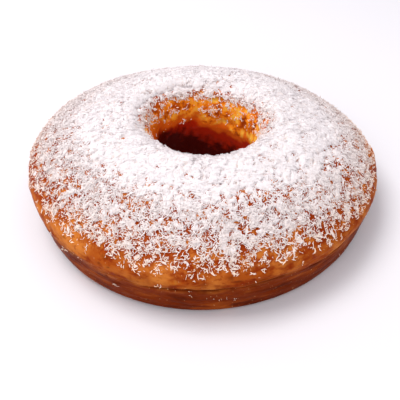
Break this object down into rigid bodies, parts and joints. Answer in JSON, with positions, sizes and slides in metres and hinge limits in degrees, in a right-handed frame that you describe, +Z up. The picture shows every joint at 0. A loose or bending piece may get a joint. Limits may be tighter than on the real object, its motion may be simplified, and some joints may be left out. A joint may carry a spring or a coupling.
{
  "type": "ring cake",
  "caption": "Baked ring cake with a domed top, a hole through the middle and grated coconut strewn over its glossy brown crust.",
  "frame": {"origin": "centre of the cake's foot, on the surface it stands on", "axes": "+Z up through the hole; -Y is the pictured front; +X is to the viewer's right"},
  "size_m": [0.2429, 0.2371, 0.0699],
  "materials": {
    "crust": "glossy moist baked crust, orange-brown over the dome and darker red-brown at the pan wall",
    "coconut": "matt white grated coconut"
  },
  "bodies": {
    "root": {"ring_cake": "crust"}
  },
  "joints": []
}
